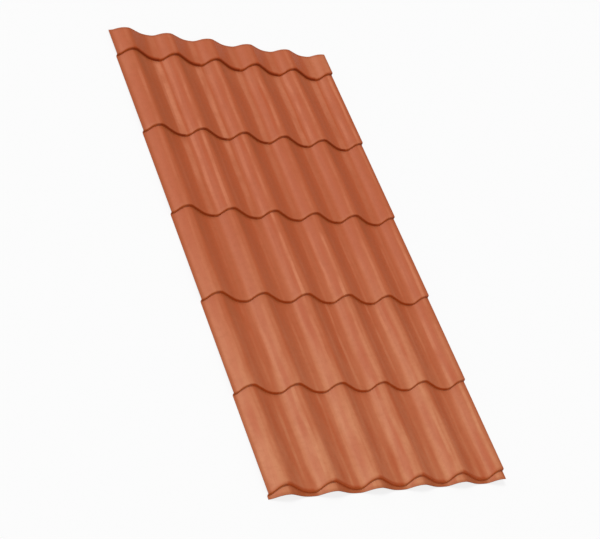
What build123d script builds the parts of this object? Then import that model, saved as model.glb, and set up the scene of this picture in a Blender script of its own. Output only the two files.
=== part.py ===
"""Roof sheet that imitates courses of clay tiles.

One moulded plastic sheet, lying flat. Waves run across it, and every course along it
rises towards its lower end, which drops in a scalloped step to the next course.
X runs across the waves, Y up the roof and Z up, with the origin under the middle.
"""

import os
from math import atan2, cos, degrees, radians, sin, tan

from build123d import *

# Outline of the sheet, with the margins measured from the first and the last crown
wave_pitch = 200.0
wave_count = 5
left_margin = 76.0
right_margin = 4.0
course_length = 400.0
course_count = 5
lip_length = 12.0
head_length = 138.0
wall = 3.0

# One wave: a steep flank up to the crown, a gentle one down, and a narrow flat valley
wave_height = 28.0
valley_flat = 10.0
steep_run = 82.0
steep_straight = 15.0
steep_crown_share = 0.63
gentle_straight = 42.0
gentle_crown_share = 0.24

# Step at the lower end of each course, which leans back from its foot
step_height = 11.5
step_scallop = 17.0
step_lean = 10.0

# How far the working blocks reach past the sheet
spare = 60.0

gentle_run = wave_pitch - valley_flat - steep_run
sheet_width = left_margin + wave_count * wave_pitch + right_margin
sheet_length = lip_length + course_count * course_length + head_length
course_slope = atan2(step_height, course_length)
lean_direction = Vector(0, tan(radians(step_lean)), 1)


def flank(run, rise, straight, crown_share):
    """Angle and two radii of a flank: a crown arc, a straight and a foot arc, all tangent."""
    radii = (run**2 + rise**2 - straight**2) / (2 * rise)
    angle = atan2(radii, straight) - atan2(radii - rise, run)
    return degrees(angle), radii * crown_share, radii * (1 - crown_share)


def ripple(rise, depth):
    """Line of waves across the sheet, one to spare at each side, parallel to the face and below it."""
    climb, steep_crown, steep_foot = flank(steep_run, rise, steep_straight, steep_crown_share)
    fall, gentle_crown, gentle_foot = flank(gentle_run, rise, gentle_straight, gentle_crown_share)
    path = []
    for wave in range(-1, wave_count + 2):
        foot = Vector(wave * wave_pitch - steep_run, -depth)
        path.append(JernArc(foot, (1, 0), steep_foot + depth, climb))
        path.append(Line(path[-1] @ 1, path[-1] @ 1 + steep_straight * (path[-1] % 1)))
        path.append(JernArc(path[-1] @ 1, path[-1] % 1, steep_crown - depth, -climb))
        path.append(JernArc(path[-1] @ 1, (1, 0), gentle_crown - depth, -fall))
        path.append(Line(path[-1] @ 1, path[-1] @ 1 + gentle_straight * (path[-1] % 1)))
        path.append(JernArc(path[-1] @ 1, path[-1] % 1, gentle_foot + depth, fall))
        path.append(Line(path[-1] @ 1, path[-1] @ 1 + Vector(valley_flat, 0)))
    return path


def region(path, level):
    """Flat area between a line across the sheet and a straight line at the given level."""
    start = path[0] @ 0
    end = path[-1] @ 1
    return make_face(Wire([*path, *Polyline(end, (end.X, level), (start.X, level), start).edges()]))


def course_block(foot_y, depth):
    """All that lies under one course, from the foot of its step to a little way under the next course up."""
    head_y = foot_y + course_length + wall
    section = Plane((0, head_y, 0), x_dir=(1, 0, 0), z_dir=(0, -cos(course_slope), sin(course_slope)))
    profile = Pos(0, wall) * region(ripple(wave_height, depth), -spare - depth)
    body = extrude(section.offset(-spare) * profile, 2 * spare + course_length)
    low_end = Pos(Vector(0, foot_y + depth) - 2 * spare * lean_direction)
    front = low_end * region(ripple(step_scallop, 0), course_length + 3 * spare)
    return body & extrude(front, 4 * spare, dir=lean_direction)


def stepped_block(depth):
    """All that lies under the whole run of courses, at the given depth below the face."""
    block = course_block(lip_length - course_length, depth)
    for course in range(course_count + 1):
        block += course_block(lip_length + course * course_length, depth)
    return block


def roof_sheet():
    """The block under the face, cut to the sheet's outline, less the block under its back."""
    outline = Box(sheet_width, sheet_length, 4 * spare, align=(Align.MIN, Align.MIN, Align.CENTER))
    sheet = (Pos(-left_margin, 0) * outline) & stepped_block(0)
    sheet -= stepped_block(wall)
    return Pos(left_margin - sheet_width / 2, -sheet_length / 2) * sheet


os.makedirs("parts", exist_ok=True)
export_step(roof_sheet(), "parts/roof_sheet.step")
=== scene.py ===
from math import pi, radians

import bpy
import numpy as np
from mathutils import Euler, Matrix, Vector


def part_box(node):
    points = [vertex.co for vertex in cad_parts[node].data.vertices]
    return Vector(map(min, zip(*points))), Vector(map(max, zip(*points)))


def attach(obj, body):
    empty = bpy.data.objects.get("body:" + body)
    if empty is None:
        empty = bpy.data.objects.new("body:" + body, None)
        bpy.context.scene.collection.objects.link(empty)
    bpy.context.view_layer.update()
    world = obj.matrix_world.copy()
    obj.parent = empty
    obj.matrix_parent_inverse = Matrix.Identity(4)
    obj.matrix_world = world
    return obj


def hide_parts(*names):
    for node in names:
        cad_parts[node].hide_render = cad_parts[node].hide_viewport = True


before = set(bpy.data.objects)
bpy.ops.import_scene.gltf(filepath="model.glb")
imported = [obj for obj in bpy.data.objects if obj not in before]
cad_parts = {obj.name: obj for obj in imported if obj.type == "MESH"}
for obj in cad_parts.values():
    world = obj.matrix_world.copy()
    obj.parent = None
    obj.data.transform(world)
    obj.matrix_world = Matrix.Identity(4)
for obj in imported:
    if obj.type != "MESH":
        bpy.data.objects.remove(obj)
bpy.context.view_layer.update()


# Roof sheet
# One moulded plastic sheet whose face imitates six courses of clay tiles. Waves run across it, and
# each course rises towards its lower end, where it drops in a scalloped step to the next one.
# It is coloured right through, and a weathered terracotta with painted light and shade is printed on its
# face.

class Flow:
    """Wraps a socket of a node tree, so that sums on it are written as plain expressions."""

    def __init__(self, socket):
        self.socket = socket
        self.tree = socket.id_data

    @staticmethod
    def place(tree, kind, settings=None, inputs=None, output=0):
        """Adds a node: its settings are made first, then its inputs are filled or linked."""
        node = tree.nodes.new(kind)
        for name, setting in (settings or {}).items():
            setattr(node, name, setting)
        for name, given in (inputs or {}).items():
            if isinstance(given, Flow):
                tree.links.new(given.socket, node.inputs[name])
            else:
                node.inputs[name].default_value = given
        return Flow(node.outputs[output])

    def maths(self, operation, *others):
        """A Math node of the given operation on this socket and up to two more values."""
        inputs = dict(enumerate((self, *others)))
        return Flow.place(self.tree, "ShaderNodeMath", {"operation": operation}, inputs)

    def __add__(self, other):
        return self.maths("ADD", other)

    def __sub__(self, other):
        return self.maths("SUBTRACT", other)

    def __mul__(self, other):
        return self.maths("MULTIPLY", other)

    def __truediv__(self, other):
        return self.maths("DIVIDE", other)

    def __mod__(self, other):
        return self.maths("FLOORED_MODULO", other)

    def __radd__(self, other):
        return self + other

    def __rmul__(self, other):
        return self * other

    def __rsub__(self, other):
        return self * -1 + other

    def __gt__(self, other):
        return self.maths("GREATER_THAN", other)

    def least(self, other):
        """The smaller of this socket and another value."""
        return self.maths("MINIMUM", other)

    def most(self, other):
        """The larger of this socket and another value."""
        return self.maths("MAXIMUM", other)

    def rise(self, start, end):
        """Goes smoothly from 0 to 1 as this socket goes from start to end."""
        settings = {"interpolation_type": "SMOOTHSTEP"}
        inputs = {"Value": self, "From Min": start, "From Max": end}
        return Flow.place(self.tree, "ShaderNodeMapRange", settings, inputs)

    def axes(self):
        """The three numbers of this vector."""
        split = Flow.place(self.tree, "ShaderNodeSeparateXYZ", inputs={0: self})
        return [Flow(socket) for socket in split.socket.node.outputs]


sheet_low, sheet_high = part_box("roof_sheet")
sheet_sizes = {
    "Sheet Width": sheet_high.x - sheet_low.x,
    "Sheet Length": sheet_high.y - sheet_low.y,
    "Wall": 0.003,
    "Left Margin": 0.076,
    "Wave Pitch": 0.200,
    "Wave Height": 0.028,
    "Steep Run": 0.082,
    "Steep Straight": 0.015,
    "Steep Crown Share": 0.63,
    "Gentle Run": 0.108,
    "Gentle Straight": 0.042,
    "Gentle Crown Share": 0.24,
    "Course Length": 0.400,
    "Lip Length": 0.012,
    "Step Height": 0.0115,
    "Step Scallop": 0.017,
    "Step Lean": radians(10),
    "Nose Radius": 0.005,
    "Foot Radius": 0.0025,
}

# Fineness of the mesh: columns across the waves, then along the sheet one station at the eaves, a
# few on each whole course and on the part course at the head, and points on each rounded corner
column_spacing = 0.004
column_count = round(sheet_sizes["Sheet Width"] / column_spacing) + 1
whole_courses = 5
stations_a_course = 9
head_stations = 5
station_count = 1 + whole_courses * stations_a_course + head_stations
round_points = 6

# The scallops die away before both cut ends, over these shares of the lip and of the whole sheet
lip_fade_share = 0.7
head_fade_share = 0.04


def fall(distance, rise, run, straight, crown_share):
    """How far a flank is below its crown, at a distance: a crown arc, a straight and a foot arc."""
    radii = (run * run + rise * rise - straight * straight) / (rise * 2)
    angle = radii.maths("ARCTAN2", straight) - (radii - rise).maths("ARCTAN2", run)
    crown = radii * crown_share
    foot = radii - crown
    on_crown = distance.most(0).least(crown * angle.maths("SINE"))
    on_straight = (distance - crown * angle.maths("SINE")).most(0).least(straight * angle.maths("COSINE"))
    on_foot = (run - distance).most(0).least(foot * angle.maths("SINE"))
    crown_fall = crown - (crown * crown - on_crown * on_crown).maths("SQRT")
    foot_fall = (foot * foot - on_foot * on_foot).maths("SQRT") - foot * angle.maths("COSINE")
    return crown_fall + on_straight * angle.maths("TANGENT") + foot_fall


def stepped_wave_tree(sizes):
    """Geometry Nodes tree of the sheet's face: a grid with waves across it and steps along it."""
    tree = bpy.data.node_groups.new("stepped_wave_face", "GeometryNodeTree")
    for name in sizes:
        tree.interface.new_socket(name, in_out="INPUT", socket_type="NodeSocketFloat")
    tree.interface.new_socket("Face Material", in_out="INPUT", socket_type="NodeSocketMaterial")
    tree.interface.new_socket("Face", in_out="OUTPUT", socket_type="NodeSocketGeometry")
    given = tree.nodes.new("NodeGroupInput").outputs
    size = {name: Flow(given[name]) for name in sizes}
    index = Flow.place(tree, "GeometryNodeInputIndex")
    place = Flow.place(tree, "GeometryNodeInputPosition")
    slope = size["Step Height"] / size["Course Length"]
    lean = size["Step Lean"].maths("TANGENT")

    # Line along the sheet: a corner at the foot and the nose of each step, and stations between
    past_eaves = index > 0.5
    count = index - 1
    course = (count / stations_a_course).maths("FLOOR")
    station = count % stations_a_course
    is_step = 1 - (station > 1.5)
    above = station > 0.5
    foot_y = course * size["Course Length"] + size["Lip Length"]
    head_y = foot_y + size["Wall"] + above * size["Course Length"]
    corner_z = (size["Wall"] + (head_y - foot_y) * slope) / (lean * slope + 1)
    corner_y = foot_y + corner_z * lean
    between_y = foot_y + (station - 1) * size["Course Length"] / (stations_a_course - 1)
    line_y = corner_y * is_step + between_y * (1 - is_step)
    line_y = (line_y * past_eaves).least(size["Sheet Length"])
    below_first = (size["Lip Length"] + size["Wall"]) * (1 - past_eaves)
    line_z = size["Wall"] + (head_y * past_eaves + below_first - line_y) * slope
    corners = Flow.place(tree, "ShaderNodeCombineXYZ", inputs={1: line_y, 2: line_z})
    line = Flow.place(tree, "GeometryNodePoints", inputs={"Count": station_count, "Position": corners})
    line = Flow.place(tree, "GeometryNodePointsToCurves", inputs={"Points": line})
    radius = size["Foot Radius"] * (1 - above) + size["Nose Radius"] * above
    rounding = {"Curve": line, "Count": round_points, "Radius": radius * is_step * past_eaves}
    line = Flow.place(tree, "GeometryNodeFilletCurve", {"mode": "POLY"}, rounding)
    settings = {"component": "CURVE"}
    row_count = Flow.place(tree, "GeometryNodeAttributeDomainSize", settings, {"Geometry": line})

    # Grid with a row for each point of that line
    grid_inputs = {"Size X": size["Sheet Width"], "Vertices X": column_count, "Vertices Y": row_count}
    grid = Flow.place(tree, "GeometryNodeMeshGrid", inputs=grid_inputs)
    row = index % row_count
    settings = {"data_type": "FLOAT_VECTOR", "domain": "POINT"}
    inputs = {"Geometry": line, "Value": place, "Index": row}
    on_line = Flow.place(tree, "GeometryNodeSampleIndex", settings, inputs)
    row_y, row_z = on_line.axes()[1:]
    x = place.axes()[0]

    # Waves across the sheet, and the scallops that they give to each step
    from_crown = x + size["Sheet Width"] / 2 - size["Left Margin"]
    steep = size["Steep Run"], size["Steep Straight"], size["Steep Crown Share"]
    gentle = size["Gentle Run"], size["Gentle Straight"], size["Gentle Crown Share"]
    place_in_wave = (from_crown + size["Steep Run"]) % size["Wave Pitch"] - size["Steep Run"]

    def ripple(rise):
        """Height above the valleys of waves whose crowns are that high."""
        return rise - fall(place_in_wave * -1, rise, *steep) - fall(place_in_wave, rise, *gentle)

    wave = ripple(size["Wave Height"])
    shift = (ripple(size["Step Scallop"]) + wave * lean) / (lean * slope + 1)
    lip_fade = (row_y / (size["Lip Length"] * lip_fade_share)).least(1)
    head_fade = ((size["Sheet Length"] - row_y) / (size["Sheet Length"] * head_fade_share)).least(1)
    shift = shift * lip_fade * head_fade
    y = row_y + shift - size["Sheet Length"] / 2
    z = row_z + wave - shift * slope
    bent = Flow.place(tree, "ShaderNodeCombineXYZ", inputs={0: x, 1: y, 2: z})
    face = Flow.place(tree, "GeometryNodeSetPosition", inputs={"Geometry": grid, "Position": bent})

    # Place on the sheet in waves and courses, for the material
    waves = from_crown / size["Wave Pitch"]
    courses = (row_y - size["Lip Length"]) / size["Course Length"]
    counted = Flow.place(tree, "ShaderNodeCombineXYZ", inputs={0: waves, 1: courses})
    settings = {"data_type": "FLOAT_VECTOR", "domain": "POINT"}
    counted = Flow.place(tree, "GeometryNodeFieldOnDomain", settings, {"Value": counted})
    settings = {"data_type": "FLOAT2", "domain": "CORNER"}
    inputs = {"Geometry": face, "Name": "waves_and_courses", "Value": counted}
    face = Flow.place(tree, "GeometryNodeStoreNamedAttribute", settings, inputs)
    face = Flow.place(tree, "GeometryNodeSetShadeSmooth", inputs={"Geometry": face})
    face = Flow.place(tree, "GeometryNodeRealizeInstances", inputs={"Geometry": face})
    inputs = {"Geometry": face, "Material": Flow(given["Face Material"])}
    face = Flow.place(tree, "GeometryNodeSetMaterial", inputs=inputs)
    tree.links.new(face.socket, tree.nodes.new("NodeGroupOutput").inputs["Face"])
    return tree


def new_finish(name):
    """A material with one Principled shader, given back with that shader's node and its tree."""
    material = bpy.data.materials.new(name)
    material.use_nodes = True
    return material, material.node_tree.nodes["Principled BSDF"], material.node_tree


def noise(tree, across, along, apart, detail=2.0):
    """Noise about one unit wide on a place of three numbers, from 0 to 1 with its middle at 0.5."""
    spot = Flow.place(tree, "ShaderNodeCombineXYZ", inputs={0: across, 1: along, 2: apart})
    return Flow.place(tree, "ShaderNodeTexNoise", inputs={"Vector": spot, "Scale": 1.0, "Detail": detail})


def chance(tree, *counts):
    """A number from 0 to 1 that is even all over a cell and differs from one cell to the next."""
    cell = Flow.place(tree, "ShaderNodeCombineXYZ", inputs=dict(enumerate(counts)))
    return Flow.place(tree, "ShaderNodeTexWhiteNoise", {"noise_dimensions": "3D"}, {"Vector": cell})


def blend(tree, share, under, over):
    """A colour that goes from one to the other with the share, by a Mix node's colour sockets."""
    inputs = {0: share, 6: under, 7: over}
    return Flow.place(tree, "ShaderNodeMix", {"data_type": "RGBA"}, inputs, output=2)


# Linear colours of the print and of the plastic under it; some stand for painted light and shade
fired_terracotta = (0.385, 0.074, 0.020, 1)
# Painted lit copy of the fired terracotta, for the steep flanks
painted_lit_terracotta = (0.392, 0.090, 0.032, 1)
# Dark terracotta, for painted shade and for darker print and mottling
dark_terracotta = (0.270, 0.060, 0.012, 1)
# Tan of dust, also used for a painted sheen and a painted highlight
dust_and_sheen_tan = (0.490, 0.175, 0.080, 1)
fresh_streak = (0.545, 0.182, 0.090, 1)
dusty_streak = (0.520, 0.210, 0.100, 1)
# Painted shade on the steps, darker and lighter
painted_step_shade = (0.320, 0.042, 0.002, 1)
lighter_step_shade = (0.510, 0.082, 0.008, 1)
# Painted light on the steps of the steep flanks
painted_lit_step = (0.700, 0.150, 0.010, 1)
back_terracotta = (0.360, 0.080, 0.028, 1)
cut_terracotta = (0.230, 0.050, 0.017, 1)

# Places in the wave, measured in waves from its valley: the crown, and where one tile ends and
# the next starts
crown_place = 0.46
tile_start = -0.20

# Streaks printed down each tile: place in the wave from its valley, half width, and strength on
# the lowest and on the highest course. Dark ones lie between the pale ones.
pale_streaks = (
    (-0.090, 0.045, 0.45, 0.60),
    (-0.030, 0.085, 0.00, 0.95),
    (0.150, 0.040, 0.62, 0.58),
    (0.345, 0.040, 0.90, 0.80),
    (0.610, 0.050, 0.22, 0.10),
)
dark_streaks = (
    (0.065, 0.030, 0.30, 0.90),
    (0.250, 0.040, 0.60, 1.00),
)

# The darker border beside the cuts is even up to the first distance from them and gone at the second
dark_border_full = 0.004
dark_border_end = 0.016


def weathered_face():
    """Face of the sheet: terracotta with soft streaks down each tile, dustier and with a painted sheen on
    the steep flanks, and painted light and shade at the steps and crowns.
    """
    material, shader, tree = new_finish("weathered_terracotta_face")

    # Place on the sheet in waves from the first crown and in courses from the lip, then its course,
    # how far up that course it is, its tile, and its shares in the upper and the lower courses
    across, up = Flow.place(tree, "ShaderNodeUVMap", {"uv_map": "waves_and_courses"}).axes()[:2]
    course = up.maths("FLOOR")
    along = up.maths("FRACT")
    wave = (across + crown_place - tile_start).maths("FLOOR")
    upper = up.rise(1.8, 4.6)
    lower = 1 - up.rise(-0.4, 3.4)

    # Clouds and fine lines, and a place across the tile that bends slowly, so that no two are alike
    broad = noise(tree, across * 5.1, along * 2.1 + course * 3.7, course * 11.3, 1)
    fine = noise(tree, across * 21, along * 3.1 + course * 5.1, course * 7.9, 2)
    bend = noise(tree, along * 1.6, wave * 3.3, course * 4.7, 1) * 0.06 - 0.03
    in_wave = (across + crown_place - tile_start).maths("FRACT") + tile_start + bend + (fine - 0.5) * 0.05

    def streaks(table, seed):
        """Soft lines down each tile, which shift and come and go from tile to tile."""
        joined = None
        for number, (middle, half_width, low_strength, high_strength) in enumerate(table):
            placed = chance(tree, wave, course, number + seed) * 0.03 - 0.015 + middle + upper * 0.045
            kept = chance(tree, wave, course, number + seed + 50) * 0.6 + 0.4
            broken = noise(tree, along * 3.4, wave * 5.3, course * 2.9 + number + seed, 1).rise(0.3, 0.6)
            strength = (upper * (high_strength - low_strength) + low_strength) * kept
            apart = (in_wave - placed).maths("ABSOLUTE")
            soft_line = 1 - apart.rise(half_width * 0.3, half_width * 1.2)
            streak = soft_line * strength * (broken * 0.75 + 0.25)
            joined = streak if joined is None else joined.most(streak)
        return joined * (fine.rise(0.25, 0.6) * 0.3 + 0.7)

    # Painted light: the steep flank, which faces the lamp, is painted lighter than the gentle one
    lit_steep_side = (in_wave + upper * 0.06).rise(-0.08, 0.02) * (1 - in_wave.rise(0.42, 0.49))
    colour = blend(tree, lit_steep_side, fired_terracotta, painted_lit_terracotta)

    # Dust, and with it a painted sheen, lies thickest on the steep flanks towards the eaves and thinnest
    # along the right side. More lies on the lowest crests, at the head of the last whole course and at the
    # head's right corner.
    dust_and_sheen_side = in_wave.rise(0.00, 0.11) * (1 - in_wave.rise(0.42, 0.50))
    patches = broad.rise(0.25, 0.7) * 0.9 + 0.3
    near_eaves = 1 - up.rise(0.1, 0.7)
    crest = in_wave.rise(0.32, 0.42) * (1 - in_wave.rise(0.50, 0.60))
    steep_foot = in_wave.rise(-0.04, 0.03) * (1 - in_wave.rise(0.18, 0.28))
    dust_and_sheen = (dust_and_sheen_side * 0.6 + (1 - along) * 0.1 + 0.30) * lower * patches + (1 - along) * 0.03 + 0.02
    dust_and_sheen = dust_and_sheen * (1 - across.rise(4.35, 4.7) * 0.45) + (crest - steep_foot) * near_eaves * 0.22
    last_head = up.rise(whole_courses - 0.4, whole_courses - 0.1)
    last_head = last_head * (1 - up.rise(whole_courses - 0.03, whole_courses))
    part_course = up.rise(whole_courses, whole_courses + 0.02)
    dust_and_sheen = dust_and_sheen + last_head * (1 - crest) * 0.14 + part_course * across.rise(4.4, 4.7) * 0.35
    colour = blend(tree, dust_and_sheen, colour, dust_and_sheen_tan)

    def faint_round(middle_across, middle_up, half_width, half_length):
        """Fades the streaks inside a soft-edged oblong of the sheet, given in waves and courses."""
        aside = ((across - middle_across) / half_width).maths("ABSOLUTE")
        away = ((up - middle_up) / half_length).maths("ABSOLUTE")
        return 1 - aside.most(away).rise(0.7, 1.1)

    # The print is weakest at the right of the fourth course, at the left of the third, on the
    # part course at the head, and along the left margin
    faint = faint_round(3.7, 3.4, 1.6, 0.7).most(faint_round(0.2, 2.5, 1.6, 0.6))
    faint = faint.most(up.rise(whole_courses, whole_courses + 0.04))
    faint = faint.most(1 - across.rise(-0.16, 0.02))
    kept = 1 - faint * 0.6
    colour = blend(tree, streaks(dark_streaks, 20) * kept, colour, fired_terracotta)
    streak_colour = blend(tree, lower, fresh_streak, dusty_streak)
    colour = blend(tree, streaks(pale_streaks, 0) * kept, colour, streak_colour)

    # Painted shade past each crown, strongest under the step above, and darker print at the left of the
    # head
    past_crown = in_wave.rise(0.45, 0.51) * (1 - in_wave.rise(0.55, 0.72))
    shade_and_dark_print = past_crown * (along.rise(0.45, 1.0) * 0.3 + 0.05) * (1 - lower * 0.8)
    shade_and_dark_print = shade_and_dark_print + (1 - across.rise(-0.5, 2.5)) * up.rise(3.6, 4.2) * (1 - lit_steep_side) * 0.22
    colour = blend(tree, shade_and_dark_print, colour, dark_terracotta)

    # Painted shade in loose patches towards the head of each course, under the step above, with fine
    # mottling, and painted shade in the corner at the foot of each step, but not on the lit steep flanks
    patchy_shade_and_mottle = broad.rise(0.5, 0.8) * along.rise(0.6, 1.0) * (0.20 - lower * 0.15) + (fine - 0.5) * 0.3
    colour = blend(tree, patchy_shade_and_mottle, colour, dark_terracotta)
    lit_steep_flank = in_wave.rise(0.02, 0.08) * (1 - in_wave.rise(0.40, 0.48))
    step_foot_shade = along.rise(0.95, 0.995) * (in_wave.rise(0.45, 0.7) * 0.35 + 0.4)
    step_foot_shade = step_foot_shade * (1 - lit_steep_flank) * (1 - lower * 0.5)
    colour = blend(tree, step_foot_shade, colour, dark_terracotta)

    # Painted shade on each step's riser, darker towards the head and weaker on the lit steep flanks. On
    # the lowest and the highest step the painted shade reaches a little way past the nose as well.
    step_shade_colour = blend(tree, 1 - up.rise(1.0, 5.2), painted_step_shade, lighter_step_shade)
    highest_step = up.rise(whole_courses - 0.4, whole_courses - 0.1)
    end_steps = (1 - up.rise(0.3, 0.6)) * 0.75 + highest_step * 0.95
    shade_past_nose = (1 - along.rise(0.012, 0.042)) * end_steps * (1 - lit_steep_flank * 0.45)
    colour = blend(tree, shade_past_nose, colour, painted_step_shade)
    riser = 1 - along.rise(0.005, 0.012)
    colour = blend(tree, riser * (0.95 - lit_steep_flank * 0.65), colour, step_shade_colour)

    # On the lit steep flanks each riser gets painted light, and a painted highlight lies just past its nose
    lit_flank_off_crest = lit_steep_flank * (1 - crest)
    colour = blend(tree, riser * lit_flank_off_crest * 0.36, colour, painted_lit_step)
    past_nose = along.rise(0.012, 0.020) * (1 - along.rise(0.030, 0.050))
    colour = blend(tree, past_nose * lit_flank_off_crest * 0.14, colour, dust_and_sheen_tan)

    # The face is a little darker beside the cuts
    place = Flow.place(tree, "ShaderNodeTexCoord", output="Object")
    x, y = place.axes()[:2]
    from_cut = (sheet_high.x - x.maths("ABSOLUTE")).least(sheet_high.y - y.maths("ABSOLUTE"))
    near_cut_dark = 1 - from_cut.rise(dark_border_full, dark_border_end)
    colour = blend(tree, near_cut_dark * 0.45, colour, dark_terracotta)

    # Fine mottling, and a grain like fired clay
    mottle = Flow.place(tree, "ShaderNodeTexNoise", inputs={"Vector": place, "Scale": 55.0, "Detail": 4.0})
    colour = blend(tree, mottle.rise(0.40, 0.75) * 0.15, colour, dark_terracotta)
    speck = Flow.place(tree, "ShaderNodeTexNoise", inputs={"Vector": place, "Scale": 700.0, "Detail": 1.0})
    colour = blend(tree, speck.rise(0.60, 0.72) * 0.30, colour, dark_terracotta)
    tree.links.new(colour.socket, shader.inputs["Base Color"])
    grain = Flow.place(tree, "ShaderNodeTexNoise", inputs={"Vector": place, "Scale": 420.0, "Detail": 3.0})
    bump_inputs = {"Strength": 0.5, "Distance": 0.0006, "Height": grain}
    bump = Flow.place(tree, "ShaderNodeBump", inputs=bump_inputs)
    tree.links.new(bump.socket, shader.inputs["Normal"])
    rough = grain * 0.12 + 0.50
    tree.links.new(rough.socket, shader.inputs["Roughness"])
    shader.inputs["Specular IOR Level"].default_value = 0.2
    return material


def plain_back():
    """Back of the sheet: the plastic's own colour, smooth from the mould."""
    material, shader, tree = new_finish("plain_back")
    place = Flow.place(tree, "ShaderNodeTexCoord", output="Object")
    cloud = Flow.place(tree, "ShaderNodeTexNoise", inputs={"Vector": place, "Scale": 6.0, "Detail": 3.0})
    colour = blend(tree, cloud.rise(0.3, 0.7) * 0.3, back_terracotta, cut_terracotta)
    tree.links.new(colour.socket, shader.inputs["Base Color"])
    shader.inputs["Roughness"].default_value = 0.6
    shader.inputs["Specular IOR Level"].default_value = 0.15
    return material


def sawn_edge():
    """Cut edges of the sheet: bare plastic, finely roughened by the saw."""
    material, shader, tree = new_finish("sawn_edge")
    place = Flow.place(tree, "ShaderNodeTexCoord", output="Object")
    marks = Flow.place(tree, "ShaderNodeTexNoise", inputs={"Vector": place, "Scale": 900.0, "Detail": 2.0})
    colour = blend(tree, marks.rise(0.35, 0.65), cut_terracotta, back_terracotta)
    tree.links.new(colour.socket, shader.inputs["Base Color"])
    bump = Flow.place(tree, "ShaderNodeBump", inputs={"Strength": 0.4, "Distance": 0.0003, "Height": marks})
    tree.links.new(bump.socket, shader.inputs["Normal"])
    shader.inputs["Roughness"].default_value = 0.7
    shader.inputs["Specular IOR Level"].default_value = 0.2
    return material


def settled(piece):
    """Gives the piece the mesh that its modifiers make, and takes the modifiers off."""
    seen = piece.evaluated_get(bpy.context.evaluated_depsgraph_get())
    piece.data = bpy.data.meshes.new_from_object(seen)
    piece.modifiers.clear()


face_finish = weathered_face()
sheet = bpy.data.objects.new("tile_effect_sheet", bpy.data.meshes.new("tile_effect_sheet"))
bpy.context.scene.collection.objects.link(sheet)
shape = sheet.modifiers.new("stepped waves", "NODES")
shape.node_group = stepped_wave_tree(sheet_sizes)
for item in shape.node_group.interface.items_tree:
    if item.name in sheet_sizes:
        shape[item.identifier] = sheet_sizes[item.name]
    elif item.name == "Face Material":
        shape[item.identifier] = face_finish
settled(sheet)

sheet.data.materials.clear()
for finish in (face_finish, plain_back(), sawn_edge()):
    sheet.data.materials.append(finish)
sheet.data.polygons.foreach_set("material_index", np.zeros(len(sheet.data.polygons), dtype=np.int32))
thickness = sheet.modifiers.new("wall", "SOLIDIFY")
thickness.thickness = sheet_sizes["Wall"]
thickness.offset = -1
thickness.use_even_offset = True
thickness.use_quality_normals = True
thickness.material_offset = 1
thickness.material_offset_rim = 2
settled(sheet)

# The cut ends and sides stand upright, with their edges just broken. A corner that lies within
# reach of a side of the solid's box is on a cut.
cut_reach = 0.0005
edge_break_width = 0.0004
edge_break_angle = radians(60)
sharp_angle = radians(35)
corners = np.empty(3 * len(sheet.data.vertices), dtype=np.float32)
sheet.data.vertices.foreach_get("co", corners)
corners = corners.reshape(-1, 3)
for axis in (0, 1):
    for side in (sheet_low[axis], sheet_high[axis]):
        near = abs(corners[:, axis] - side) < cut_reach
        corners[near, axis] = side
sheet.data.vertices.foreach_set("co", corners.ravel())
edge_break = sheet.modifiers.new("broken edges", "BEVEL")
edge_break.width = edge_break_width
edge_break.segments = 1
edge_break.angle_limit = edge_break_angle
settled(sheet)
sheet.data.shade_smooth()
sheet.data.set_sharp_from_angle(angle=sharp_angle)

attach(sheet, "root")
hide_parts("roof_sheet")


# Floor, light and camera
# A plain white studio floor that keeps a faint shadow, one soft lamp high over the sheet's left
# side and head, and an even light all round. The camera looks down on the sheet, rolled so that
# its head leans to the upper left of the frame.

# Glow of the floor seen straight on, the sky's strength as a light and as the camera sees it, and
# the way from the sheet to the lamp
floor_glow = 0.84
sky_light = 0.54
sky_seen = 0.96
lamp_direction = Vector((-0.45, 0.35, 0.82))

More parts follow.
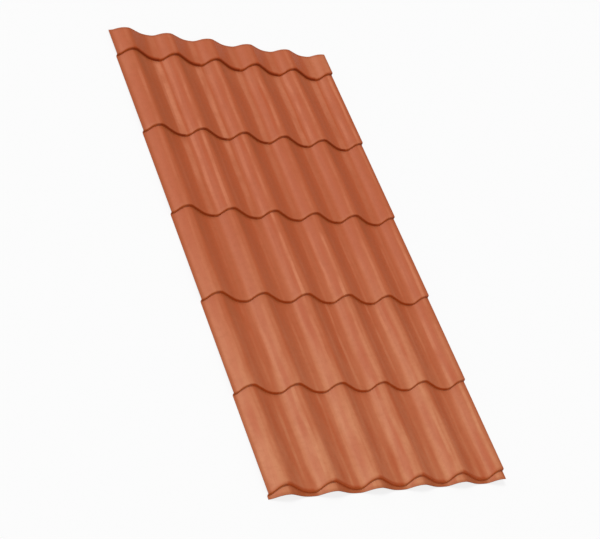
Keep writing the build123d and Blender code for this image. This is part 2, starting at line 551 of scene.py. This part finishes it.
bpy.ops.mesh.primitive_plane_add(size=60, location=(0, 0, 0))
floor = bpy.context.object
floor.name = "studio_floor"
floor_finish, floor_shader, floor_tree = new_finish("studio_floor")
floor_shader.inputs["Base Color"].default_value = (0.85, 0.85, 0.85, 1)
floor_shader.inputs["Roughness"].default_value = 0.9
glow = Flow.place(floor_tree, "ShaderNodeEmission", inputs={"Color": (0.97, 0.97, 0.97, 1)})
sees_floor = Flow.place(floor_tree, "ShaderNodeLightPath", output="Is Camera Ray")
for ray in ("Is Glossy Ray", "Is Transmission Ray"):
    sees_floor = sees_floor.most(Flow.place(floor_tree, "ShaderNodeLightPath", output=ray))
mixed_inputs = {0: sees_floor * floor_glow, 1: Flow(floor_shader.outputs[0]), 2: glow}
mixed = Flow.place(floor_tree, "ShaderNodeMixShader", inputs=mixed_inputs)
floor_tree.links.new(mixed.socket, floor_tree.nodes["Material Output"].inputs["Surface"])
floor.data.materials.append(floor_finish)

world = bpy.data.worlds.new("studio")
bpy.context.scene.world = world
world.use_nodes = True
sky = world.node_tree.nodes["Background"]
sees_sky = Flow.place(world.node_tree, "ShaderNodeLightPath", output="Is Camera Ray")
sky_strength = sees_sky * (sky_seen - sky_light) + sky_light
sky.inputs["Color"].default_value = (1, 1, 1, 1)
world.node_tree.links.new(sky_strength.socket, sky.inputs["Strength"])

lamp = bpy.data.lights.new("soft_key", "SUN")
lamp.energy = 2.36
lamp.angle = radians(20)
key = bpy.data.objects.new("soft_key", lamp)
key.rotation_euler = lamp_direction.to_track_quat("Z", "Y").to_euler()
bpy.context.scene.collection.objects.link(key)

aim = Vector((-0.0538, -0.1206, 0.030))
camera_distance = 5.826
camera_azimuth = radians(-50.43)
camera_elevation = radians(40.97)
camera_roll = radians(40.42)
camera_data = bpy.data.cameras.new("camera")
camera_data.lens = 90
camera_data.sensor_width = 36
camera = bpy.data.objects.new("camera", camera_data)
turn = Euler((pi / 2 - camera_elevation, 0, camera_azimuth)).to_matrix().to_4x4()
camera.matrix_world = Matrix.Translation(aim) @ turn @ Matrix.Translation((0, 0, camera_distance))
camera.matrix_world = camera.matrix_world @ Matrix.Rotation(camera_roll, 4, "Z")
bpy.context.scene.collection.objects.link(camera)
bpy.context.scene.camera = camera
bpy.context.scene.view_settings.view_transform = "Standard"
